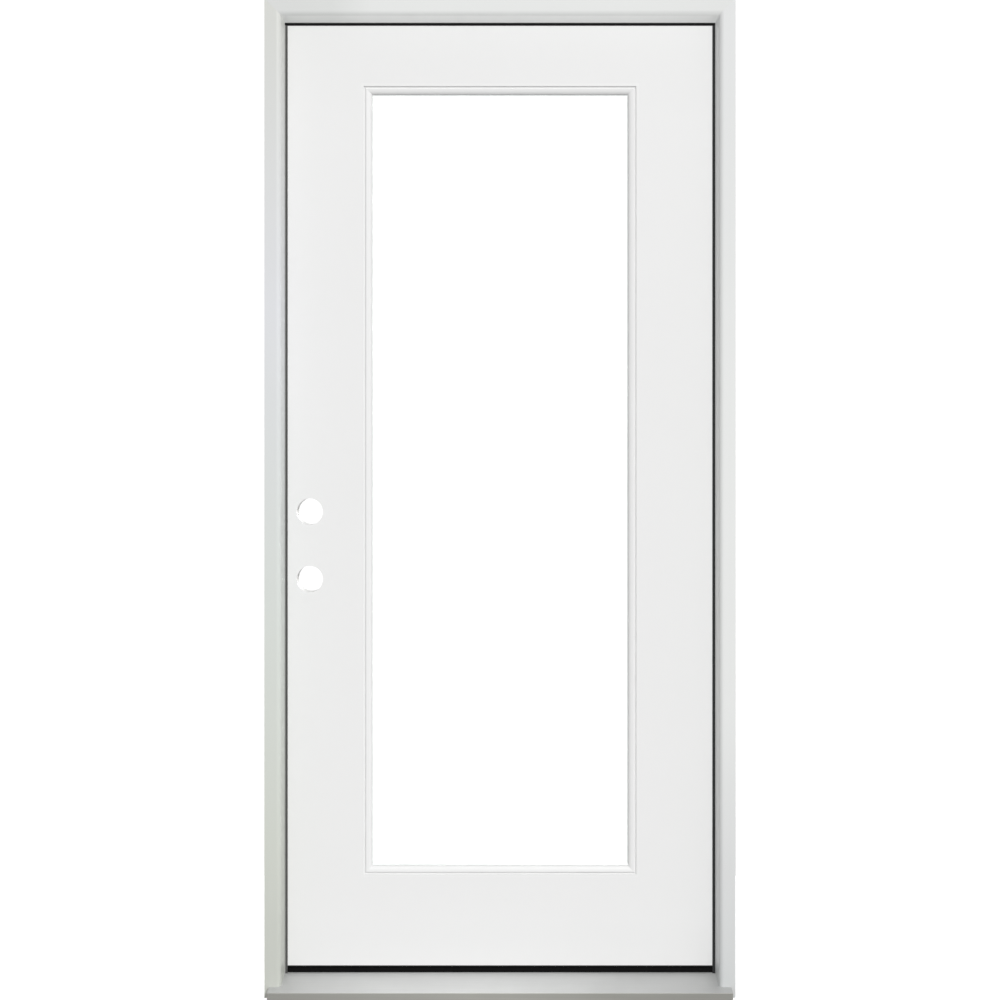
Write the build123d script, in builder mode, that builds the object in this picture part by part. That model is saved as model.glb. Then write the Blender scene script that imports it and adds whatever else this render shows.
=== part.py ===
# Full lite front door: an inswing leaf with one tall pane, hung on three butt hinges in its
# rabbeted jamb, over an aluminium sill. Millimetres. +X is right and +Y is into the house for
# someone outside, +Z is up. The origin is the middle of the sill's underside.
import os
from math import radians, tan

from build123d import *

os.makedirs("parts", exist_ok=True)

# Leaf
leaf_width = 908.05
leaf_height = 1958.8
leaf_thickness = 44.45
skin_thickness = 2.0
lock_edge_bevel = 3.5
stile_width = 32.0
top_rail_height = 32.0
bottom_rail_height = 38.0

# Gaps round the leaf
side_gap = 5.0
head_gap = 5.0
cap_gap = 5.0
seal_space = 8.0

# Jamb
jamb_depth = 115.9
jamb_leg_thickness = 19.05
stop_height = 14.55
jamb_edge_radius = 9.5
kerf_width = 3.0
kerf_depth = 9.0
kerf_inset = 6.5

# Weatherstrip in the kerf of the stops
bulb_reach = 5.5
bulb_width = 17.0
bulb_thickness = 7.0
bulb_radius = 3.0
stem_width = 2.4
stem_depth = 8.0
pad_thickness = 3.5
pad_width = 26.0
pad_height = 76.0

# Sill
deck_height = 30.4
deck_slope = 7.5
deck_thickness = 2.2
deck_edge_radius = 1.5
nose_reach = 27.0
nose_lip_height = 3.5
horn_cut = 9.0
cap_height = 9.1
cap_depth = 41.5
cap_edge_radius = 2.0
cap_seal_gap = 1.0

# Sweep under the leaf
sweep_depth = 39.0
sweep_base = 1.4
sweep_fin = 1.6
sweep_fin_drop = 2.6
sweep_fin_count = 3
sweep_end_gap = 4.0
sweep_stem_spacing = 24.0

# Lite: the moulding let into each skin, and the sealed glass unit
lite_side_margin = 165.7
lite_top_margin = 132.6
lite_bottom_margin = 182.0
lite_seat = 5.0
lite_fit = 0.5
flange_width = 6.2
quirk_width = 3.0
quirk_depth = 3.0
bead_shoulder = 3.0
outer_ovolo_width = 11.6
inner_ovolo_width = 5.6
glass_unit_thickness = 25.4
pane_thickness = 3.0
pane_edge_gap = 4.0
tape_thickness = 1.0
tape_width = 8.5
spacer_width = 7.5
spacer_inset = 1.0

# Lock preparation
backset = 60.3
cross_bore_diameter = 53.975
latch_bore_diameter = 22.225
lockset_height = 799.4
bolt_spacing = 139.7
lock_block_height = 370.0
face_plate_height = 57.15
face_plate_width = 25.4
face_plate_recess = 3.2
strike_recess = 1.6
strike_pocket_height = 25.4
strike_pocket_width = 19.0
strike_pocket_depth = 12.7
plate_corner_radius = 6.35

# Hinges
hinge_height = 101.6
hinge_plate_width = 35.0
hinge_plate_thickness = 2.2
hinge_plate_fit = 0.25
hinge_plate_setback = 0.35
barrel_diameter = 12.7
barrel_offset = 7.0
pin_diameter = 7.0
pin_clearance = 0.1
pin_head_diameter = 10.4
pin_head_height = 2.6
pin_head_chamfer = 1.0
pin_tip = 1.5
knuckle_count = 5
knuckle_gap = 0.4
top_hinge_drop = 177.8
bottom_hinge_rise = 279.4

# The leaf's place in the frame
leaf_bottom = deck_height + cap_height + cap_gap
leaf_top = leaf_bottom + leaf_height
leaf_half = leaf_width / 2
leaf_inside = jamb_depth / 2
leaf_outside = leaf_inside - leaf_thickness
leaf_middle = (leaf_inside + leaf_outside) / 2
core_outside = leaf_outside + skin_thickness
core_inside = leaf_inside - skin_thickness
core_thickness = core_inside - core_outside
core_half = leaf_half - stile_width

# The frame round it
rabbet_half = leaf_half + side_gap
frame_half = rabbet_half + jamb_leg_thickness
frame_height = leaf_top + head_gap + jamb_leg_thickness
jamb_thickness = jamb_leg_thickness + stop_height
jamb_front = -jamb_depth / 2
jamb_back = jamb_depth / 2
stop_back = leaf_outside - seal_space
kerf_place = jamb_thickness - kerf_inset
bulb_inner = jamb_thickness + bulb_reach
bulb_outer = bulb_inner - bulb_width

# The sill's section
nose_front = jamb_front - nose_reach
cut_margin = 20.0


def deck_top(y):
    """Height of the deck's upper face at depth y: level under the leaf, falling to the nose."""
    return deck_height - max(0.0, stop_back - y) * tan(radians(deck_slope))


# The lite's place in the leaf: its opening in the skins, and the smaller one in the core
lite_half = leaf_half - lite_side_margin
lite_bottom = leaf_bottom + lite_bottom_margin
lite_top = leaf_top - lite_top_margin
lite_middle = (lite_bottom + lite_top) / 2
lite_width = 2 * lite_half
lite_height = lite_top - lite_bottom
cutout_half = lite_half - lite_seat
cutout_bottom = lite_bottom + lite_seat
cutout_top = lite_top - lite_seat
pane_width = 2 * (cutout_half - pane_edge_gap)
pane_height = cutout_top - cutout_bottom - 2 * pane_edge_gap
glass_outside = leaf_middle - glass_unit_thickness / 2
glass_inside = leaf_middle + glass_unit_thickness / 2

# Lock preparation in the leaf
cross_bore_x = backset - leaf_half
lockset_z = leaf_bottom + lockset_height
deadbolt_z = lockset_z + bolt_spacing
lock_heights = (lockset_z, deadbolt_z)
lock_block_bottom = (lockset_z + deadbolt_z - lock_block_height) / 2
lock_block_top = lock_block_bottom + lock_block_height

# Hinge places
pin_x = leaf_half + side_gap / 2
pin_y = leaf_inside + barrel_offset
hinge_plate_start = leaf_inside - hinge_plate_width
hinge_plate_end = leaf_inside - hinge_plate_setback
door_plate_x = leaf_half - hinge_plate_thickness
knuckle_height = (hinge_height - (knuckle_count - 1) * knuckle_gap) / knuckle_count
upper_hinge_z = leaf_top - top_hinge_drop - hinge_height / 2
lower_hinge_z = leaf_bottom + bottom_hinge_rise + hinge_height / 2
hinge_places = {
    "upper": upper_hinge_z,
    "middle": (upper_hinge_z + lower_hinge_z) / 2,
    "lower": lower_hinge_z,
}


def lock_edge(y):
    """The lock edge's x at depth y. It is bevelled, so that it clears the jamb as it swings."""
    return -leaf_half + (leaf_inside - y) * tan(radians(lock_edge_bevel))


lock_edge_plane = Plane(
    origin=(lock_edge(leaf_middle), leaf_middle, 0),
    x_dir=(0, 0, 1),
    z_dir=(-1, -tan(radians(lock_edge_bevel)), 0),
)


# Jamb: legs and head share one moulded section, mitred at the corners
def jamb_section(plane, kerfed=True):
    """The jamb's section on a plane whose x runs inward from the frame's outer face."""
    with BuildSketch(plane) as section:
        with BuildLine():
            Polyline(
                (0, jamb_front),
                (jamb_thickness, jamb_front),
                (jamb_thickness, stop_back),
                (jamb_leg_thickness, stop_back),
                (jamb_leg_thickness, jamb_back),
                (0, jamb_back),
                close=True,
            )
        make_face()
        inner_front = section.vertices().group_by(Axis.Y)[0].sort_by(Axis.X)[-1]
        fillet(inner_front, radius=jamb_edge_radius)
        if kerfed:
            with Locations((kerf_place, stop_back - kerf_depth / 2)):
                Rectangle(kerf_width, kerf_depth, mode=Mode.SUBTRACT)
    return section.sketch


strike_leg_plane = Plane(origin=(-frame_half, 0, 0), x_dir=(1, 0, 0), z_dir=(0, 0, 1))
head_plane = Plane(origin=(-frame_half, 0, frame_height), x_dir=(0, 0, -1), z_dir=(1, 0, 0))
left_mitre = Plane(origin=(-frame_half, 0, frame_height), x_dir=(0, 1, 0), z_dir=(1, 0, 1))
right_mitre = Plane(origin=(frame_half, 0, frame_height), x_dir=(0, 1, 0), z_dir=(-1, 0, 1))


with BuildPart() as leg_blank:
    extrude(jamb_section(strike_leg_plane), amount=frame_height)
    split(bisect_by=left_mitre, keep=Keep.BOTTOM)


def hinge_recess(face_x, z_middle):
    """A mortise for one hinge plate, open at the house side, between face_x and plate depth."""
    with BuildPart() as recess:
        with BuildSketch(Plane(origin=(face_x, 0, z_middle), x_dir=(0, 1, 0), z_dir=(1, 0, 0))):
            with Locations((hinge_plate_start - hinge_plate_fit, 0)):
                Rectangle(
                    hinge_plate_width + 2 * hinge_plate_fit,
                    hinge_height + 2 * hinge_plate_fit,
                    align=(Align.MIN, Align.CENTER),
                )
        extrude(amount=hinge_plate_thickness)
        inner_edges = recess.edges().filter_by(Axis.X).group_by(Axis.Y)[0]
        fillet(inner_edges, radius=plate_corner_radius)
    return recess.part


with BuildPart() as hinge_jamb:
    mirror(leg_blank.part, about=Plane.YZ)
    for z_middle in hinge_places.values():
        add(hinge_recess(rabbet_half, z_middle), mode=Mode.SUBTRACT)
hinge_jamb.part.label = "hinge_jamb"
export_step(hinge_jamb.part, "parts/hinge_jamb.step")

strike_face = Plane(origin=(-rabbet_half, leaf_middle, 0), x_dir=(0, 1, 0), z_dir=(1, 0, 0))
with BuildPart() as strike_jamb:
    add(leg_blank.part)
    for z_middle in lock_heights:
        with BuildSketch(strike_face):
            with Locations((0, z_middle)):
                RectangleRounded(face_plate_width, face_plate_height, plate_corner_radius)
        extrude(amount=-strike_recess, mode=Mode.SUBTRACT)
        with BuildSketch(strike_face):
            with Locations((0, z_middle)):
                Rectangle(strike_pocket_width, strike_pocket_height)
        extrude(amount=-strike_pocket_depth, mode=Mode.SUBTRACT)
strike_jamb.part.label = "strike_jamb"
export_step(strike_jamb.part, "parts/strike_jamb.step")

with BuildPart() as head_jamb:
    extrude(jamb_section(head_plane), amount=2 * frame_half)
    split(bisect_by=left_mitre, keep=Keep.TOP)
    split(bisect_by=right_mitre, keep=Keep.TOP)
head_jamb.part.label = "head_jamb"
export_step(head_jamb.part, "parts/head_jamb.step")


# Sill: a composite base between the legs, under an aluminium deck whose turned-down nose passes
# in front of them, and the raised cap
def sill_ends():
    """What the sill leaves free at its ends: the legs' room, and the nose's short notches."""
    with BuildPart() as ends:
        leg_footprint = jamb_section(strike_leg_plane.offset(-cut_margin), kerfed=False)
        extrude(leg_footprint, amount=deck_height + 2 * cut_margin)
        with BuildSketch(Plane.XY.offset(-cut_margin)):
            with Locations((-frame_half, jamb_front)):
                Rectangle(horn_cut, nose_reach + cut_margin, align=(Align.MIN, Align.MAX))
        extrude(amount=deck_height + 2 * cut_margin)
        mirror(about=Plane.YZ)
    return ends.part


lip_back = nose_front + deck_thickness
with BuildPart() as sill_base:
    with BuildSketch(Plane.YZ.offset(-frame_half)):
        with BuildLine():
            Polyline(
                (lip_back, 0),
                (jamb_back, 0),
                (jamb_back, deck_height - deck_thickness),
                (stop_back, deck_height - deck_thickness),
                (lip_back, deck_top(lip_back) - deck_thickness),
                close=True,
            )
        make_face()
    extrude(amount=2 * frame_half)
    add(sill_ends(), mode=Mode.SUBTRACT)
sill_base.part.label = "sill_base"
export_step(sill_base.part, "parts/sill_base.step")

with BuildPart() as sill_deck:
    with BuildSketch(Plane.YZ.offset(-frame_half)) as deck_section:
        with BuildLine():
            Polyline(
                (nose_front, nose_lip_height),
                (nose_front, deck_top(nose_front)),
                (stop_back, deck_height),
                (jamb_back, deck_height),
                (jamb_back, deck_height - deck_thickness),
                (stop_back, deck_height - deck_thickness),
                (lip_back, deck_top(lip_back) - deck_thickness),
                (lip_back, nose_lip_height),
                close=True,
            )
        make_face()
        nose_corner = deck_section.vertices().group_by(Axis.X)[0].sort_by(Axis.Y)[-1]
        fillet(nose_corner, radius=deck_edge_radius)
    extrude(amount=2 * frame_half)
    add(sill_ends(), mode=Mode.SUBTRACT)
sill_deck.part.label = "sill_deck"
export_step(sill_deck.part, "parts/sill_deck.step")

cap_front = leaf_outside - cap_seal_gap
with BuildPart() as threshold_cap:
    with BuildSketch(Plane.YZ.offset(-rabbet_half)) as cap_section:
        with Locations((cap_front, deck_height)):
            Rectangle(cap_depth, cap_height, align=(Align.MIN, Align.MIN))
        fillet(cap_section.vertices().group_by(Axis.Y)[-1], radius=cap_edge_radius)
    extrude(amount=2 * rabbet_half)
threshold_cap.part.label = "threshold_cap"
export_step(threshold_cap.part, "parts/threshold_cap.step")


# Weatherstrip: a soft bulb on a stem that sits in the kerf of each stop
strip_top = frame_height - bulb_inner
head_stem_half = frame_half - kerf_place - kerf_width / 2


def weatherstrip(plane, bulb_length, stem_start, stem_length):
    """A strip along the normal of a plane whose x runs inward from the frame's outer face."""
    with BuildPart() as strip:
        with BuildSketch(plane) as bulb:
            with Locations((bulb_outer, stop_back)):
                Rectangle(bulb_width, bulb_thickness, align=(Align.MIN, Align.MIN))
            fillet(bulb.vertices().group_by(Axis.Y)[-1], radius=bulb_radius)
        extrude(amount=bulb_length)
        with BuildSketch(plane.offset(stem_start)):
            with Locations((kerf_place, stop_back)):
                Rectangle(stem_width, stem_depth, align=(Align.CENTER, Align.MAX))
        extrude(amount=stem_length)
    return strip.part


side_strip_length = strip_top - deck_height
with BuildPart() as strike_side_weatherstrip:
    add(weatherstrip(strike_leg_plane.offset(deck_height), side_strip_length, 0, side_strip_length))
strike_side_weatherstrip.part.label = "strike_side_weatherstrip"
export_step(strike_side_weatherstrip.part, "parts/strike_side_weatherstrip.step")

with BuildPart() as hinge_side_weatherstrip:
    mirror(strike_side_weatherstrip.part, about=Plane.YZ)
hinge_side_weatherstrip.part.label = "hinge_side_weatherstrip"
export_step(hinge_side_weatherstrip.part, "parts/hinge_side_weatherstrip.step")

with BuildPart() as head_weatherstrip:
    add(
        weatherstrip(
            head_plane.offset(bulb_outer),
            2 * (frame_half - bulb_outer),
            frame_half - head_stem_half - bulb_outer,
            2 * head_stem_half,
        )
    )
head_weatherstrip.part.label = "head_weatherstrip"
export_step(head_weatherstrip.part, "parts/head_weatherstrip.step")

with BuildPart() as corner_pads:
    with BuildSketch(Plane.XY.offset(deck_height + cap_height)):
        with Locations((-rabbet_half, cap_front), (rabbet_half - pad_thickness, cap_front)):
            Rectangle(pad_thickness, pad_width, align=(Align.MIN, Align.MIN))
    extrude(amount=pad_height)
corner_pads.part.label = "corner_pads"
export_step(corner_pads.part, "parts/corner_pads.step")


# Leaf: two skins over stiles, rails, a lock block and a foam core
def leaf_layer(start, end, right):
    """A plan section from the bevelled lock edge to x = right, between two depths."""
    with BuildSketch(Plane.XY.offset(leaf_bottom)) as layer:
        with BuildLine():
            Polyline(
                (lock_edge(start), start),
                (right, start),
                (right, end),
                (lock_edge(end), end),
                close=True,
            )
        make_face()
    return layer.sketch


def cross_bores():
    """The two holes through the leaf for the lockset and the deadbolt."""
    with BuildPart() as bores:
        with BuildSketch(Plane.XZ.offset(-leaf_outside)):
            with Locations(*[(cross_bore_x, z_middle) for z_middle in lock_heights]):
                Circle(cross_bore_diameter / 2)
        extrude(amount=-leaf_thickness)
    return bores.part


def latch_bores():
    """The holes from the lock edge into the cross bores."""
    with BuildPart() as bores:
        with BuildSketch(Plane.YZ.offset(-leaf_half)):
            with Locations(*[(leaf_middle, z_middle) for z_middle in lock_heights]):
                Circle(latch_bore_diameter / 2)
        extrude(amount=backset)
    return bores.part


def leaf_skin(start, end):
    """One face skin with the lite's opening and the cross bores."""
    with BuildPart() as skin:
        extrude(leaf_layer(start, end, leaf_half), amount=leaf_height)
        with BuildSketch(Plane.XZ.offset(-start)):
            with Locations((0, lite_middle)):
                Rectangle(lite_width, lite_height)
        extrude(amount=start - end, mode=Mode.SUBTRACT)
        add(cross_bores(), mode=Mode.SUBTRACT)
    return skin.part


with BuildPart() as exterior_skin:
    add(leaf_skin(leaf_outside, core_outside))
exterior_skin.part.label = "exterior_skin"
export_step(exterior_skin.part, "parts/exterior_skin.step")

with BuildPart() as interior_skin:
    add(leaf_skin(core_inside, leaf_inside))
    for z_middle in hinge_places.values():
        add(hinge_recess(door_plate_x, z_middle), mode=Mode.SUBTRACT)
interior_skin.part.label = "interior_skin"
export_step(interior_skin.part, "parts/interior_skin.step")

with BuildPart() as lock_stile:
    extrude(leaf_layer(core_outside, core_inside, -core_half), amount=leaf_height)
    add(latch_bores(), mode=Mode.SUBTRACT)
    for z_middle in lock_heights:
        with BuildSketch(lock_edge_plane):
            with Locations((z_middle, 0)):
                RectangleRounded(face_plate_height, face_plate_width, plate_corner_radius)
        extrude(amount=-face_plate_recess, mode=Mode.SUBTRACT)
lock_stile.part.label = "lock_stile"
export_step(lock_stile.part, "parts/lock_stile.step")

with BuildPart() as hinge_stile:
    with BuildSketch(Plane.XY.offset(leaf_bottom)):
        with Locations((core_half, core_outside)):
            Rectangle(stile_width, core_thickness, align=(Align.MIN, Align.MIN))
    extrude(amount=leaf_height)
    for z_middle in hinge_places.values():
        add(hinge_recess(door_plate_x, z_middle), mode=Mode.SUBTRACT)
hinge_stile.part.label = "hinge_stile"
export_step(hinge_stile.part, "parts/hinge_stile.step")


def core_blocks(*spans):
    """Blocks as thick as the core, each from one x, z corner to the opposite one."""
    with BuildPart() as blocks:
        with BuildSketch(Plane.XZ.offset(-core_outside)):
            for (left, low), (right, high) in spans:
                with Locations((left, low)):
                    Rectangle(right - left, high - low, align=(Align.MIN, Align.MIN))
        extrude(amount=-core_thickness)
    return blocks.part


top_rail_bottom = leaf_top - top_rail_height
bottom_rail_top = leaf_bottom + bottom_rail_height
with BuildPart() as top_rail:
    add(core_blocks(((-core_half, top_rail_bottom), (core_half, leaf_top))))
top_rail.part.label = "top_rail"
export_step(top_rail.part, "parts/top_rail.step")

with BuildPart() as bottom_rail:
    add(core_blocks(((-core_half, leaf_bottom), (core_half, bottom_rail_top))))
    with BuildSketch(Plane.YZ.offset(-core_half)):
        with Locations((leaf_middle, leaf_bottom)):
            with GridLocations(sweep_stem_spacing, 0, 2, 1):
                Rectangle(kerf_width, kerf_depth, align=(Align.CENTER, Align.MIN))
    extrude(amount=2 * core_half, mode=Mode.SUBTRACT)
bottom_rail.part.label = "bottom_rail"
export_step(bottom_rail.part, "parts/bottom_rail.step")

with BuildPart() as lock_block:
    add(core_blocks(((-core_half, lock_block_bottom), (-cutout_half, lock_block_top))))
    add(cross_bores(), mode=Mode.SUBTRACT)
    add(latch_bores(), mode=Mode.SUBTRACT)
lock_block.part.label = "lock_block"
export_step(lock_block.part, "parts/lock_block.step")

with BuildPart() as foam_core_top:
    add(core_blocks(((-core_half, cutout_top), (core_half, top_rail_bottom))))
foam_core_top.part.label = "foam_core_top"
export_step(foam_core_top.part, "parts/foam_core_top.step")

with BuildPart() as foam_core_bottom:
    add(core_blocks(((-core_half, bottom_rail_top), (core_half, cutout_bottom))))
foam_core_bottom.part.label = "foam_core_bottom"
export_step(foam_core_bottom.part, "parts/foam_core_bottom.step")

with BuildPart() as foam_core_hinge_side:
    add(core_blocks(((cutout_half, cutout_bottom), (core_half, cutout_top))))
foam_core_hinge_side.part.label = "foam_core_hinge_side"
export_step(foam_core_hinge_side.part, "parts/foam_core_hinge_side.step")

with BuildPart() as foam_core_lock_side:
    add(
        core_blocks(
            ((-core_half, cutout_bottom), (-cutout_half, lock_block_bottom)),
            ((-core_half, lock_block_top), (-cutout_half, cutout_top)),
        )
    )
foam_core_lock_side.part.label = "foam_core_lock_side"
export_step(foam_core_lock_side.part, "parts/foam_core_lock_side.step")

# Sweep: a base plate under the leaf, with stems in the bottom rail's kerfs and fins that stop
# just above the cap
with BuildPart() as door_sweep:
    with BuildSketch(Plane.YZ.offset(lock_edge(leaf_outside) + sweep_end_gap)):
        with Locations((leaf_middle, leaf_bottom)):
            Rectangle(sweep_depth, sweep_base, align=(Align.CENTER, Align.MAX))
        with Locations((leaf_middle, leaf_bottom - sweep_base)):
            with GridLocations((sweep_depth - sweep_fin) / (sweep_fin_count - 1), 0, sweep_fin_count, 1):
                Rectangle(sweep_fin, sweep_fin_drop, align=(Align.CENTER, Align.MAX))
    extrude(amount=leaf_half - lock_edge(leaf_outside) - 2 * sweep_end_gap)
    with BuildSketch(Plane.YZ.offset(-core_half)):
        with Locations((leaf_middle, leaf_bottom)):
            with GridLocations(sweep_stem_spacing, 0, 2, 1):
                Rectangle(stem_width, stem_depth, align=(Align.CENTER, Align.MIN))
    extrude(amount=2 * core_half)
door_sweep.part.label = "door_sweep"
export_step(door_sweep.part, "parts/door_sweep.step")


# Lite: a moulded frame in each face, flush with the skin and seated on the core round its
# opening, clamps the sealed glass unit through glazing tape
def ring(width, height, wall, start, end):
    """A flat rectangular ring round the lite, given its outer size, between two depths."""
    with BuildPart() as loop:
        with BuildSketch(Plane.XZ.offset(-start)):
            with Locations((0, lite_middle)):
                Rectangle(width, height)
                Rectangle(width - 2 * wall, height - 2 * wall, mode=Mode.SUBTRACT)
        extrude(amount=start - end)
    return loop.part


tape_outside = glass_outside - tape_thickness
quirk_end = flange_width + quirk_width
bead_crest = quirk_end + bead_shoulder
moulding_start = Plane(origin=(0, 0, lite_bottom), x_dir=(0, 0, 1), z_dir=(1, 0, 0))


def lite_frame(ovolo_width):
    """The outer face's mitred moulding: a flush flange, a quirk, and an ovolo to the glass."""
    with BuildPart() as moulding:
        with BuildLine() as lite_path:
            Polyline(
                (0, 0, lite_bottom),
                (lite_half, 0, lite_bottom),
                (lite_half, 0, lite_top),
                (-lite_half, 0, lite_top),
                (-lite_half, 0, lite_bottom),
                close=True,
            )
        with BuildSketch(moulding_start):
            with BuildLine():
                flange = Polyline(
                    (lite_seat + lite_fit, -core_outside),
                    (0, -core_outside),
                    (0, -leaf_outside),
                    (flange_width, -leaf_outside),
                    (flange_width, -leaf_outside - quirk_depth),
                    (quirk_end, -leaf_outside - quirk_depth),
                )
                EllipticalCenterArc(
                    (bead_crest, -leaf_outside - quirk_depth),
                    bead_shoulder,
                    quirk_depth,
                    start_angle=90,
                    arc_size=90,
                )
                EllipticalCenterArc(
                    (bead_crest, -tape_outside),
                    ovolo_width,
                    tape_outside - leaf_outside,
                    arc_size=90,
                )
                Polyline(
                    (bead_crest + ovolo_width, -tape_outside),
                    (lite_seat + lite_fit, -tape_outside),
                    flange @ 0,
                )
            make_face()
        sweep(path=lite_path.line, transition=Transition.RIGHT)
    return moulding.part


with BuildPart() as exterior_lite_frame:
    add(lite_frame(outer_ovolo_width))
exterior_lite_frame.part.label = "exterior_lite_frame"
export_step(exterior_lite_frame.part, "parts/exterior_lite_frame.step")

with BuildPart() as interior_lite_frame:
    mirror(lite_frame(inner_ovolo_width), about=Plane.XZ.offset(-leaf_middle))
interior_lite_frame.part.label = "interior_lite_frame"
export_step(interior_lite_frame.part, "parts/interior_lite_frame.step")

with BuildPart() as exterior_pane:
    with BuildSketch(Plane.XZ.offset(-glass_outside)):
        with Locations((0, lite_middle)):
            Rectangle(pane_width, pane_height)
    extrude(amount=-pane_thickness)
exterior_pane.part.label = "exterior_pane"
export_step(exterior_pane.part, "parts/exterior_pane.step")

with BuildPart() as interior_pane:
    mirror(exterior_pane.part, about=Plane.XZ.offset(-leaf_middle))
interior_pane.part.label = "interior_pane"
export_step(interior_pane.part, "parts/interior_pane.step")

with BuildPart() as exterior_glazing_tape:
    add(ring(pane_width, pane_height, tape_width, tape_outside, glass_outside))
exterior_glazing_tape.part.label = "exterior_glazing_tape"
export_step(exterior_glazing_tape.part, "parts/exterior_glazing_tape.step")

with BuildPart() as interior_glazing_tape:
    mirror(exterior_glazing_tape.part, about=Plane.XZ.offset(-leaf_middle))
interior_glazing_tape.part.label = "interior_glazing_tape"
export_step(interior_glazing_tape.part, "parts/interior_glazing_tape.step")

with BuildPart() as glass_spacer:
    add(
        ring(
            pane_width - 2 * spacer_inset,
            pane_height - 2 * spacer_inset,
            spacer_width,
            glass_outside + pane_thickness,
            glass_inside - pane_thickness,
        )
    )
glass_spacer.part.label = "glass_spacer"
export_step(glass_spacer.part, "parts/glass_spacer.step")


# Hinges: each has a mortised plate on the jamb and one on the leaf, with knuckles that
# interleave on a loose pin
def hinge_leaf(plate_face_x, z_middle, first_knuckle):
    """A plate with every second knuckle, counted from the bottom."""
    z_bottom = z_middle - hinge_height / 2
    web_x = plate_face_x + hinge_plate_thickness / 2
    with BuildPart() as leaf:
        with BuildSketch(Plane(origin=(plate_face_x, 0, z_middle), x_dir=(0, 1, 0), z_dir=(1, 0, 0))):
            with Locations((hinge_plate_start, 0)):
                Rectangle(
                    hinge_plate_end - hinge_plate_start,
                    hinge_height,
                    align=(Align.MIN, Align.CENTER),
                )
        extrude(amount=hinge_plate_thickness)
        fillet(leaf.edges().filter_by(Axis.X).group_by(Axis.Y)[0], radius=plate_corner_radius)
        for index in range(first_knuckle, knuckle_count, 2):
            with BuildSketch(Plane.XY.offset(z_bottom + index * (knuckle_height + knuckle_gap))):
                with Locations((pin_x, pin_y)):
                    Circle(barrel_diameter / 2)
                with Locations((web_x, hinge_plate_end)):
                    Rectangle(
                        hinge_plate_thickness,
                        pin_y - hinge_plate_end,
                        align=(Align.CENTER, Align.MIN),
                    )
                with Locations((pin_x, pin_y)):
                    Circle(pin_diameter / 2 + pin_clearance, mode=Mode.SUBTRACT)
            extrude(amount=knuckle_height)
    return leaf.part


def hinge_pin(z_middle):
    """A headed pin through the five knuckles, with its head on the top one."""
    z_top = z_middle + hinge_height / 2
    with BuildPart() as pin:
        with BuildSketch(Plane.XY.offset(z_top)):
            with Locations((pin_x, pin_y)):
                Circle(pin_diameter / 2)
        extrude(amount=-hinge_height - pin_tip)
        with BuildSketch(Plane.XY.offset(z_top)):
            with Locations((pin_x, pin_y)):
                Circle(pin_head_diameter / 2)
        extrude(amount=pin_head_height)
        rim = pin.edges().filter_by(GeomType.CIRCLE).group_by(Axis.Z)[-1]
        chamfer(rim, length=pin_head_chamfer)
    return pin.part


for place, z_middle in hinge_places.items():
    with BuildPart() as frame_leaf:
        add(hinge_leaf(rabbet_half, z_middle, 0))
    frame_leaf.part.label = f"{place}_hinge_frame_leaf"
    export_step(frame_leaf.part, f"parts/{place}_hinge_frame_leaf.step")

    with BuildPart() as door_leaf:
        add(hinge_leaf(door_plate_x, z_middle, 1))
    door_leaf.part.label = f"{place}_hinge_door_leaf"
    export_step(door_leaf.part, f"parts/{place}_hinge_door_leaf.step")

    with BuildPart() as pin:
        add(hinge_pin(z_middle))
    pin.part.label = f"{place}_hinge_pin"
    export_step(pin.part, f"parts/{place}_hinge_pin.step")
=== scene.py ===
from math import cos, pi, radians, sin

import bmesh
import bpy
from mathutils import Matrix, Vector


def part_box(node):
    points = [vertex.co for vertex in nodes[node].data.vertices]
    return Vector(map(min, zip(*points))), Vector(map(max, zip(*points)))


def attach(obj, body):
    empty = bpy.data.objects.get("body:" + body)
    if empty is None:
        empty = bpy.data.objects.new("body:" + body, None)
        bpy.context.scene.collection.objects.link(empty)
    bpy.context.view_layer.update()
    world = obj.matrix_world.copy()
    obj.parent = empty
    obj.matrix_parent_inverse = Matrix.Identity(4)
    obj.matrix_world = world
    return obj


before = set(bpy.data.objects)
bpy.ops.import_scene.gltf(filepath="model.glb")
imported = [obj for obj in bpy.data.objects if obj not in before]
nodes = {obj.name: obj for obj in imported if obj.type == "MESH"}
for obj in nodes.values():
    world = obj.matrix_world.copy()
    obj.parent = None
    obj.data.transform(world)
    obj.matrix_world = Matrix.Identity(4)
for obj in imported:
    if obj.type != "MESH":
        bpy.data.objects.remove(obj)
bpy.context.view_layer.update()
MM = 0.001

# Camera: level, square to the leaf, at the distance and height that the perspective shows
camera_distance = 3.5
camera_height = 1.1077
camera_shift = -0.0483
camera_lens = 60.87
sensor_width = 36.0

# Screw head: a flat head with a chamfered rim and a tapered cross recess
screw_radius = 4.6 * MM
screw_rim = 0.25 * MM
screw_height = 0.6 * MM
screw_chamfer = 0.5 * MM
screw_sides = 32
recess_arm = 0.65 * MM
recess_reach = 2.7 * MM
recess_floor = 0.06 * MM
recess_taper = 0.55

# Screws of a hinge plate, as (height from its middle, depth from its free edge)
hinge_screw_places = (
    (-38.0 * MM, 22.0 * MM),
    (-13.0 * MM, 11.0 * MM),
    (13.0 * MM, 11.0 * MM),
    (38.0 * MM, 22.0 * MM),
)

# Distance of each plate's visible face from the pin's axis
hinge_face_offset = 2.5 * MM

# Screws of the threshold cap, in one row
cap_screw_count = 5
cap_screw_margin = 90.0 * MM
cap_screw_depth = 13.5 * MM
cap_screw_scale = 0.45

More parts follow.
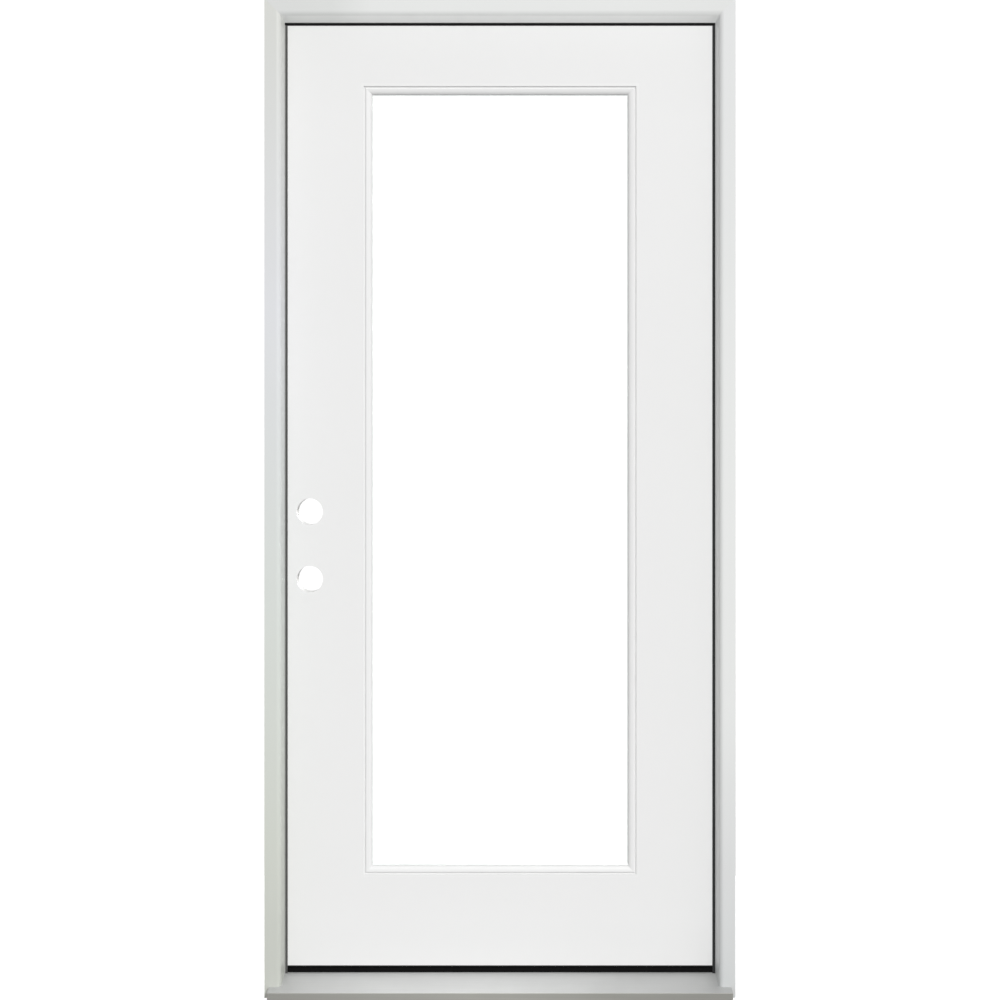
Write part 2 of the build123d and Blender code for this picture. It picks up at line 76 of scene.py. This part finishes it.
# Studio light
white = (1.0, 1.0, 1.0, 1.0)
backdrop_white = 1.15
ambient_white = 0.5
key_strength = 1.975
key_direction = Vector((-0.4, 1.0, -0.65))
fill_strength = 0.9
fill_direction = Vector((-0.3, 0.1, 1.0))
indoor_strength = 1.45
indoor_direction = Vector((-0.25, -1.0, -0.1))
sun_softness = radians(14.0)
sill_light_power = 2.0
sill_light_place = Vector((-0.08, -0.25, 0.30))
sill_light_size = (0.42, 0.08)

# Studio floor
floor_radius = 1.12
floor_sides = 96
floor_drop = 0.2 * MM
floor_glow = 0.8

# Grain of the finishes: noise cells in a metre
paint_patch_scale = 2.6
paint_sheen_scale = 35.0
paint_peel_scale = 620.0
foam_cell_scale = 900.0
glass_ripple_scale = 1.4
metal_cloud_scale = 9.0
metal_scale_along = 6.0
fleck_scales = (90.0, 420.0, 420.0)

# Values between which most of a noise texture lies
noise_low = 0.3
noise_high = 0.7

# Y of a face's normal where the deck's painted shade on its front begins, and where it is full
front_shade_begins = -0.3
front_shade_full = -0.95


# Shader helpers
def new_material(name):
    """An empty principled material: its node tree and its principled shader."""
    material = bpy.data.materials.new(name)
    material.use_nodes = True
    tree = material.node_tree
    return material, tree, tree.nodes["Principled BSDF"]


def link(tree, out_socket, in_socket):
    tree.links.new(out_socket, in_socket)


def coordinates(tree, scale=(1.0, 1.0, 1.0)):
    """The part's own coordinates in metres, stretched by scale."""
    place = tree.nodes.new("ShaderNodeTexCoord")
    mapping = tree.nodes.new("ShaderNodeMapping")
    mapping.inputs["Scale"].default_value = scale
    link(tree, place.outputs["Object"], mapping.inputs["Vector"])
    return mapping.outputs["Vector"]


def noise(tree, vector, scale, detail=3.0, roughness=0.55):
    texture = tree.nodes.new("ShaderNodeTexNoise")
    texture.inputs["Scale"].default_value = scale
    texture.inputs["Detail"].default_value = detail
    texture.inputs["Roughness"].default_value = roughness
    link(tree, vector, texture.inputs["Vector"])
    return texture.outputs["Fac"]


def rescale(tree, value, start, end, low=0.0, high=1.0):
    """A value mapped from start..end to low..high."""
    node = tree.nodes.new("ShaderNodeMapRange")
    node.inputs["From Min"].default_value = start
    node.inputs["From Max"].default_value = end
    node.inputs["To Min"].default_value = low
    node.inputs["To Max"].default_value = high
    link(tree, value, node.inputs["Value"])
    return node.outputs["Result"]


def ramp(tree, factor, stops):
    """A colour ramp over stops of (place, linear colour)."""
    node = tree.nodes.new("ShaderNodeValToRGB")
    elements = node.color_ramp.elements
    while len(elements) < len(stops):
        elements.new(0.5)
    for element, (place, colour) in zip(elements, stops):
        element.position = place
        element.color = (*colour, 1.0)
    link(tree, factor, node.inputs["Fac"])
    return node.outputs["Color"]


def grey(value):
    return (value, value, value)


def tint(colour, share):
    return tuple(channel * share for channel in colour)


def mottled(tree, factor, colour, dark, light, low=noise_low, high=noise_high):
    """A colour that a noise varies between two shares of it."""
    return ramp(tree, factor, [(low, tint(colour, dark)), (high, tint(colour, light))])


def shade_along(tree, axis, tones):
    """Painted shade that changes along one axis: tones of (place in metres, linear colour)."""
    lowest, highest = tones[0][0], tones[-1][0]
    place = tree.nodes.new("ShaderNodeTexCoord")
    split = tree.nodes.new("ShaderNodeSeparateXYZ")
    link(tree, place.outputs["Object"], split.inputs["Vector"])
    share = rescale(tree, split.outputs[axis], lowest, highest)
    stops = [((spot - lowest) / (highest - lowest), colour) for spot, colour in tones]
    return ramp(tree, share, stops)


def front_shade(tree, colour):
    """White, but painted shade on the faces that look straight outside."""
    facing = tree.nodes.new("ShaderNodeNewGeometry")
    split = tree.nodes.new("ShaderNodeSeparateXYZ")
    link(tree, facing.outputs["Normal"], split.inputs["Vector"])
    share = rescale(tree, split.outputs["Y"], front_shade_full, front_shade_begins)
    return ramp(tree, share, [(0.0, colour), (1.0, grey(1.0))])


def multiply(tree, first, second):
    node = tree.nodes.new("ShaderNodeMix")
    node.data_type = "RGBA"
    node.blend_type = "MULTIPLY"
    node.inputs["Factor"].default_value = 1.0
    link(tree, first, node.inputs["A"])
    link(tree, second, node.inputs["B"])
    return node.outputs["Result"]


def vary_roughness(tree, shader, factor, middle, below, above):
    """Roughness that a noise varies from a little below its middle to a little above it."""
    rough = rescale(tree, factor, noise_low, noise_high, middle - below, middle + above)
    link(tree, rough, shader.inputs["Roughness"])


def bump(tree, shader, height, depth):
    """Surface relief of a real depth."""
    node = tree.nodes.new("ShaderNodeBump")
    node.inputs["Distance"].default_value = depth
    link(tree, height, node.inputs["Height"])
    link(tree, node.outputs["Normal"], shader.inputs["Normal"])


# Kinds of material
def painted(name, colour, gloss, peel, mottle=0.012, along="Z", tones=None):
    """Factory paint: faint mottling, a fine sprayed texture and a satin sheen; where tones are
    given, painted shade along one axis.
    """
    material, tree, shader = new_material(name)
    place = coordinates(tree)
    patches = noise(tree, place, paint_patch_scale, detail=4.0)
    base = mottled(tree, patches, colour, dark=1 - mottle, light=1 + mottle)
    if tones:
        base = multiply(tree, base, shade_along(tree, along, tones))
    link(tree, base, shader.inputs["Base Color"])
    sheen = noise(tree, place, paint_sheen_scale)
    vary_roughness(tree, shader, sheen, gloss, below=0.02, above=0.02)
    bump(tree, shader, noise(tree, place, paint_peel_scale, detail=2.0, roughness=0.4), peel)
    return material


def rigid_foam(name, colour):
    """Cut rigid foam: small cells, with painted shade in their pores."""
    material, tree, shader = new_material(name)
    cells = noise(tree, coordinates(tree), foam_cell_scale, detail=2.0)
    base = mottled(tree, cells, colour, dark=0.86, light=1.0, low=0.35, high=0.65)
    link(tree, base, shader.inputs["Base Color"])
    shader.inputs["Roughness"].default_value = 0.9
    bump(tree, shader, cells, depth=0.3 * MM)
    return material


def clear_glass(name, tinged, clear):
    """Clear float glass, its tinge a little uneven."""
    material, tree, shader = new_material(name)
    shader.inputs["Transmission Weight"].default_value = 1.0
    shader.inputs["IOR"].default_value = 1.45
    shader.inputs["Roughness"].default_value = 0.0
    ripple = noise(tree, coordinates(tree), glass_ripple_scale, detail=1.0)
    base = ramp(tree, ripple, [(noise_low, tinged), (noise_high, clear)])
    link(tree, base, shader.inputs["Base Color"])
    return material


def drawn_metal(name, colour, gloss, along, metallic=1.0, lines=900.0, front=None):
    """Metal with fine drawn or brushed lines along one axis, and painted shade on its front
    faces where front is given.
    """
    material, tree, shader = new_material(name)
    shader.inputs["Metallic"].default_value = metallic
    scales = [lines, lines, lines]
    scales["XYZ".index(along)] = metal_scale_along
    streaks = noise(tree, coordinates(tree, scales), scale=1.0, detail=3.0, roughness=0.6)
    cloud = noise(tree, coordinates(tree), metal_cloud_scale, detail=4.0)
    base = mottled(tree, streaks, colour, dark=0.93, light=1.05)
    base = multiply(tree, base, mottled(tree, cloud, grey(1.0), dark=0.95, light=1.0))
    if front:
        base = multiply(tree, base, front_shade(tree, front))
    link(tree, base, shader.inputs["Base Color"])
    vary_roughness(tree, shader, streaks, gloss, below=0.05, above=0.07)
    bump(tree, shader, streaks, depth=0.02 * MM)
    return material


def soft_rubber(name, colour, gloss, grain, shine=0.25, along="Z", tones=None):
    """Foam rubber or dull moulded polymer, with a fine grain; where tones are given, painted
    shade along one axis.
    """
    material, tree, shader = new_material(name)
    shader.inputs["Specular IOR Level"].default_value = shine
    specks = noise(tree, coordinates(tree), grain)
    base = mottled(tree, specks, colour, dark=0.8, light=1.25)
    if tones:
        base = multiply(tree, base, shade_along(tree, along, tones))
    link(tree, base, shader.inputs["Base Color"])
    vary_roughness(tree, shader, specks, gloss, below=0.06, above=0.06)
    bump(tree, shader, specks, depth=0.08 * MM)
    return material


def composite(name, colour):
    """Wood-fibre composite: flecks pressed along the sill."""
    material, tree, shader = new_material(name)
    flecks = noise(tree, coordinates(tree, fleck_scales), scale=1.0, detail=5.0, roughness=0.65)
    dark, light = tint(colour, 0.62), tint(colour, 1.3)
    base = ramp(tree, flecks, [(0.3, dark), (0.55, colour), (0.75, light)])
    link(tree, base, shader.inputs["Base Color"])
    shader.inputs["Roughness"].default_value = 0.75
    bump(tree, shader, flecks, depth=0.15 * MM)
    return material


# Colours
frame_white = (0.775, 0.785, 0.775)
leaf_white = (0.842, 0.842, 0.839)
edge_white = (0.80, 0.79, 0.76)
moulding_white = (0.85, 0.85, 0.847)
block_white = (0.84, 0.84, 0.83)
foam_yellow = (0.80, 0.72, 0.46)
seal_black = (0.022, 0.023, 0.024)
# Painted light: the strike and head seals are lit grey copies of the black seal foam
strike_seal_lit_grey = (0.35, 0.35, 0.34)
head_seal_lit_grey = grey(0.35)
sweep_black = grey(0.006)
cap_black = grey(0.004)
deck_grey = (0.55, 0.555, 0.55)
# Painted shade on the sill deck's front faces
deck_front_shade = (0.62, 0.61, 0.57)
spacer_grey = (0.62, 0.63, 0.64)
nickel = (0.60, 0.58, 0.54)
screw_grey = (0.55, 0.54, 0.52)
fibre_brown = (0.20, 0.15, 0.11)
floor_white = grey(0.95)

# Painted shade along the paint of the head (from the left) and of the legs and the leaf (from
# the floor): darker towards their ends, with painted tinted reflections on the strike leg
head_painted_shade = (
    (-0.47, grey(0.87)),
    (-0.34, (0.88, 0.885, 0.88)),
    (-0.26, grey(0.98)),
    (0.25, grey(0.97)),
    (0.47, grey(0.91)),
)
hinge_leg_painted_shade = (
    (0.0, (0.79, 0.80, 0.81)),
    (0.25, (0.88, 0.88, 0.89)),
    (0.6, grey(1.0)),
    (1.2, grey(1.0)),
    (2.02, (0.92, 0.92, 0.93)),
)
strike_leg_painted_shade = (
    (0.0, (0.72, 0.73, 0.68)),
    (0.3, (0.78, 0.80, 0.74)),
    (0.8, (0.86, 0.89, 0.86)),
    (1.4, (0.92, 0.92, 0.96)),
    (2.02, (0.85, 0.85, 0.82)),
)
leaf_painted_shade = (
    (0.05, grey(0.965)),
    (0.14, grey(1.0)),
    (1.80, grey(1.0)),
    (1.97, grey(0.97)),
)

# Painted light and shade across the strike and head seals, which are lit grey copies of the
# black seal foam and darken towards the middle of the opening
strike_seal_painted_shade = (
    (-0.4450, grey(1.0)),
    (-0.4435, grey(0.6)),
    (-0.4415, grey(0.2)),
)
head_seal_painted_shade = (
    (1.9925, grey(0.015)),
    (1.9945, grey(1.0)),
)

# Finishes of the frame
jamb_gloss = 0.42
jamb_peel = 0.03 * MM
seal_gloss = 0.85
seal_grain = 1500.0
# The three jamb paints carry painted shade along their length
head_paint = painted(
    "head_jamb_paint", frame_white, jamb_gloss, jamb_peel, along="X", tones=head_painted_shade
)
hinge_paint = painted(
    "hinge_jamb_paint", frame_white, jamb_gloss, jamb_peel, tones=hinge_leg_painted_shade
)
strike_paint = painted(
    "strike_jamb_paint", frame_white, jamb_gloss, jamb_peel, tones=strike_leg_painted_shade
)
seal_rubber = soft_rubber("seal_foam", seal_black, seal_gloss, seal_grain)
# The strike and head seals: the seal foam with painted light and shade
strike_rubber = soft_rubber(
    "strike_seal_foam_painted_light", strike_seal_lit_grey, seal_gloss, seal_grain,
    along="X", tones=strike_seal_painted_shade,
)
head_rubber = soft_rubber(
    "head_seal_foam_painted_light", head_seal_lit_grey, seal_gloss, seal_grain,
    shine=0.1, tones=head_seal_painted_shade,
)
cap_polymer = soft_rubber("cap_polymer", cap_black, gloss=0.6, grain=500.0, shine=0.06)
deck_metal = drawn_metal(
    "deck_aluminium", deck_grey, gloss=0.55, along="X", metallic=0.55, front=deck_front_shade
)
base_composite = composite("sill_composite", fibre_brown)

# Finishes of the leaf
# The leaf paint carries painted shade at its top and bottom
skin_paint = painted(
    "leaf_paint", leaf_white, gloss=0.46, peel=0.025 * MM, mottle=0.004, tones=leaf_painted_shade
)
edge_paint = painted("leaf_edge_paint", edge_white, gloss=0.5, peel=0.04 * MM, mottle=0.02)
moulding_finish = painted(
    "lite_moulding", moulding_white, gloss=0.42, peel=0.015 * MM, mottle=0.004
)
block_polymer = painted(
    "lock_block_polymer", block_white, gloss=0.6, peel=0.04 * MM, mottle=0.01
)
core_foam = rigid_foam("core_foam", foam_yellow)
pane_glass = clear_glass("clear_glass", tinged=(0.965, 0.985, 0.975), clear=(0.985, 0.995, 0.99))
spacer_metal = drawn_metal("spacer_metal", spacer_grey, gloss=0.35, along="Z")
sweep_rubber = soft_rubber("sweep_rubber", sweep_black, gloss=0.7, grain=900.0)

# Finishes of the hardware and the floor
hinge_metal = drawn_metal("hinge_nickel", nickel, gloss=0.32, along="Z", lines=1400.0)
screw_metal = drawn_metal("screw_steel", screw_grey, gloss=0.3, along="Y", lines=700.0)
floor_paint = painted("studio_floor", floor_white, gloss=0.7, peel=0.05 * MM)
floor_shader = floor_paint.node_tree.nodes["Principled BSDF"]
floor_shader.inputs["Emission Color"].default_value = white
floor_shader.inputs["Emission Strength"].default_value = floor_glow

finish_of = {
    "sill_base": base_composite,
    "sill_deck": deck_metal,
    "threshold_cap": cap_polymer,
    "hinge_jamb": hinge_paint,
    "strike_jamb": strike_paint,
    "head_jamb": head_paint,
    "hinge_side_weatherstrip": seal_rubber,
    "strike_side_weatherstrip": strike_rubber,
    "head_weatherstrip": head_rubber,
    "corner_pads": seal_rubber,
    "exterior_skin": skin_paint,
    "interior_skin": skin_paint,
    "lock_stile": edge_paint,
    "hinge_stile": edge_paint,
    "top_rail": edge_paint,
    "bottom_rail": edge_paint,
    "lock_block": block_polymer,
    "foam_core_top": core_foam,
    "foam_core_bottom": core_foam,
    "foam_core_lock_side": core_foam,
    "foam_core_hinge_side": core_foam,
    "exterior_lite_frame": moulding_finish,
    "interior_lite_frame": moulding_finish,
    "exterior_pane": pane_glass,
    "interior_pane": pane_glass,
    "glass_spacer": spacer_metal,
    "exterior_glazing_tape": seal_rubber,
    "interior_glazing_tape": seal_rubber,
    "door_sweep": sweep_rubber,
}
hinge_places = ("upper", "middle", "lower")
for hinge in hinge_places:
    for piece in ("frame_leaf", "door_leaf", "pin"):
        finish_of[f"{hinge}_hinge_{piece}"] = hinge_metal
for name, node in nodes.items():
    node.data.materials.clear()
    node.data.materials.append(finish_of[name])


def add_object(name, data):
    """A new object of the scene, at the origin."""
    added = bpy.data.objects.new(name, data)
    bpy.context.scene.collection.objects.link(added)
    return added


# Screws
def circle(radius):
    turns = [2 * pi * step / screw_sides for step in range(screw_sides)]
    return [(radius * cos(turn), radius * sin(turn)) for turn in turns]


def cross(arm, reach):
    """The outline of a cross with arms of half-width arm."""
    corner = [(reach, -arm), (reach, arm), (arm, arm)]
    points = []
    for quarter in range(4):
        turn = Matrix.Rotation(quarter * pi / 2, 2)
        points += [tuple(turn @ Vector(point)) for point in corner]
    return points


def ring(shape, outline, height):
    """A closed loop of vertices and edges at one height."""
    corners = [shape.verts.new((x, y, height)) for x, y in outline]
    edges = [shape.edges.new((a, b)) for a, b in zip(corners, corners[1:] + corners[:1])]
    return corners, edges


def wall(shape, lower, upper):
    """Faces between two loops of equal length."""
    for step in range(len(lower)):
        after = (step + 1) % len(lower)
        shape.faces.new((lower[step], lower[after], upper[after], upper[step]))


def screw_head():
    """The screw head's mesh, seated on z = 0."""
    shape = bmesh.new()
    seat, _ = ring(shape, circle(screw_radius), 0.0)
    rim, _ = ring(shape, circle(screw_radius), screw_rim)
    brim, brim_edges = ring(shape, circle(screw_radius - screw_chamfer), screw_height)
    mouth, mouth_edges = ring(shape, cross(recess_arm, recess_reach), screw_height)
    floor_outline = cross(recess_arm * recess_taper, recess_reach * recess_taper)
    floor, _ = ring(shape, floor_outline, recess_floor)
    wall(shape, seat, rim)
    wall(shape, rim, brim)
    wall(shape, mouth, floor)
    shape.faces.new(seat)
    shape.faces.new(floor)
    bmesh.ops.triangle_fill(shape, edges=brim_edges + mouth_edges, use_beauty=True)
    bmesh.ops.recalc_face_normals(shape, faces=shape.faces)
    mesh = bpy.data.meshes.new("screw_head")
    shape.to_mesh(mesh)
    shape.free()
    mesh.materials.append(screw_metal)
    return mesh


def place_screw(name, mesh, place, outward, body, height_share=1.0):
    """One screw head on a face that looks outward, riding on a body."""
    screw = add_object(name, mesh)
    turn = Vector(outward).to_track_quat("Z", "Y").to_matrix().to_4x4()
    flatten = Matrix.Scale(height_share, 4, (0, 0, 1))
    screw.matrix_world = Matrix.Translation(place) @ turn @ flatten
    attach(screw, body)


def make_hinge_screws(mesh, plate, body, side):
    """Four screws on a hinge plate, whose visible face lies beside the pin's axis."""
    low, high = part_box(plate)
    face = (low.x + high.x) / 2 - side * hinge_face_offset
    middle = (low.z + high.z) / 2
    for count, (rise, inset) in enumerate(hinge_screw_places, 1):
        spot = Vector((face, low.y + inset, middle + rise))
        place_screw(f"{plate}_screw_{count}", mesh, spot, (side, 0, 0), body)


def make_cap_screws(mesh):
    """A row of flatter screws along the threshold cap."""
    low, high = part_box("threshold_cap")
    start = low.x + cap_screw_margin
    reach = high.x - low.x - 2 * cap_screw_margin
    for count in range(cap_screw_count):
        across = start + reach * count / (cap_screw_count - 1)
        spot = Vector((across, low.y + cap_screw_depth, high.z))
        place_screw(f"cap_screw_{count + 1}", mesh, spot, (0, 0, 1), "frame", cap_screw_scale)


def make_screws():
    mesh = screw_head()
    for hinge in hinge_places:
        make_hinge_screws(mesh, f"{hinge}_hinge_frame_leaf", "frame", -1)
        make_hinge_screws(mesh, f"{hinge}_hinge_door_leaf", "leaf", 1)
    make_cap_screws(mesh)


# Studio
jamb_nodes = ("head_jamb", "hinge_jamb", "strike_jamb")
seal_nodes = ("head_weatherstrip", "hinge_side_weatherstrip", "strike_side_weatherstrip")


def make_floor():
    """A glowing pale disc just under the sill, which adds no light or shadow to the door."""
    mesh = bpy.data.meshes.new("studio_floor")
    shape = bmesh.new()
    bmesh.ops.create_circle(shape, cap_ends=True, segments=floor_sides, radius=floor_radius)
    shape.to_mesh(mesh)
    shape.free()
    mesh.materials.append(floor_paint)
    floor = add_object("studio_floor", mesh)
    floor.location = (0.0, 0.0, -floor_drop)
    floor.visible_diffuse = False
    floor.visible_glossy = False
    floor.visible_shadow = False


def make_world():
    """White behind the door, and a softer even light around it."""
    world = bpy.data.worlds.new("studio")
    bpy.context.scene.world = world
    world.use_nodes = True
    tree = world.node_tree
    tree.nodes.clear()
    output = tree.nodes.new("ShaderNodeOutputWorld")
    mix = tree.nodes.new("ShaderNodeMixShader")
    ambient = tree.nodes.new("ShaderNodeBackground")
    backdrop = tree.nodes.new("ShaderNodeBackground")
    path = tree.nodes.new("ShaderNodeLightPath")
    seen = tree.nodes.new("ShaderNodeMath")
    seen.operation = "MAXIMUM"
    for background, strength in ((ambient, ambient_white), (backdrop, backdrop_white)):
        background.inputs["Color"].default_value = white
        background.inputs["Strength"].default_value = strength
    link(tree, path.outputs["Is Camera Ray"], seen.inputs[0])
    link(tree, path.outputs["Is Transmission Ray"], seen.inputs[1])
    link(tree, seen.outputs["Value"], mix.inputs["Fac"])
    link(tree, ambient.outputs["Background"], mix.inputs[1])
    link(tree, backdrop.outputs["Background"], mix.inputs[2])
    link(tree, mix.outputs["Shader"], output.inputs["Surface"])


def make_sun(name, strength, direction):
    """Soft even light that travels in one direction."""
    data = bpy.data.lights.new(name, "SUN")
    data.energy = strength
    data.angle = sun_softness
    sun = add_object(name, data)
    sun.rotation_euler = direction.to_track_quat("-Z", "Y").to_euler()
    return sun


def node_group(name, members, state):
    """A collection that includes some nodes in a light's work, or excludes them from it."""
    group = bpy.data.collections.new(name)
    for member in members:
        group.objects.link(nodes[member])
    for entry in group.collection_objects:
        entry.light_linking.link_state = state
    return group


def make_sill_light():
    """A long soft light low in front of the sill, for the deck alone."""
    data = bpy.data.lights.new("sill_light", "AREA")
    data.shape = "RECTANGLE"
    data.size, data.size_y = sill_light_size
    data.energy = sill_light_power
    light = add_object("sill_light", data)
    light.location = sill_light_place
    light.visible_camera = False
    light.visible_glossy = False
    light.light_linking.receiver_collection = node_group("sill_lit", ("sill_deck",), "INCLUDE")


def make_lights():
    """A key from the upper right, a fill from below for the jambs, light indoors and the sill's.

    Jambs and seals cast no shadow in the key or the fill, and diffuse light passes the seals by.
    """
    no_shadow = node_group("no_shadow", jamb_nodes + seal_nodes, "EXCLUDE")
    key = make_sun("key", key_strength, key_direction)
    key.light_linking.blocker_collection = no_shadow
    fill = make_sun("fill", fill_strength, fill_direction)
    fill.light_linking.blocker_collection = no_shadow
    fill.light_linking.receiver_collection = node_group("filled", jamb_nodes, "INCLUDE")
    make_sun("indoor", indoor_strength, indoor_direction)
    make_sill_light()
    for seal in seal_nodes:
        nodes[seal].visible_diffuse = False


def make_camera():
    leaf_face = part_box("exterior_skin")[0].y
    data = bpy.data.cameras.new("camera")
    data.lens = camera_lens
    data.sensor_width = sensor_width
    data.shift_y = camera_shift
    camera = add_object("camera", data)
    camera.location = (0.0, leaf_face - camera_distance, camera_height)
    camera.rotation_euler = (pi / 2, 0.0, 0.0)
    bpy.context.scene.camera = camera


make_screws()
make_floor()
make_world()
make_lights()
make_camera()
bpy.context.scene.view_settings.view_transform = "Standard"
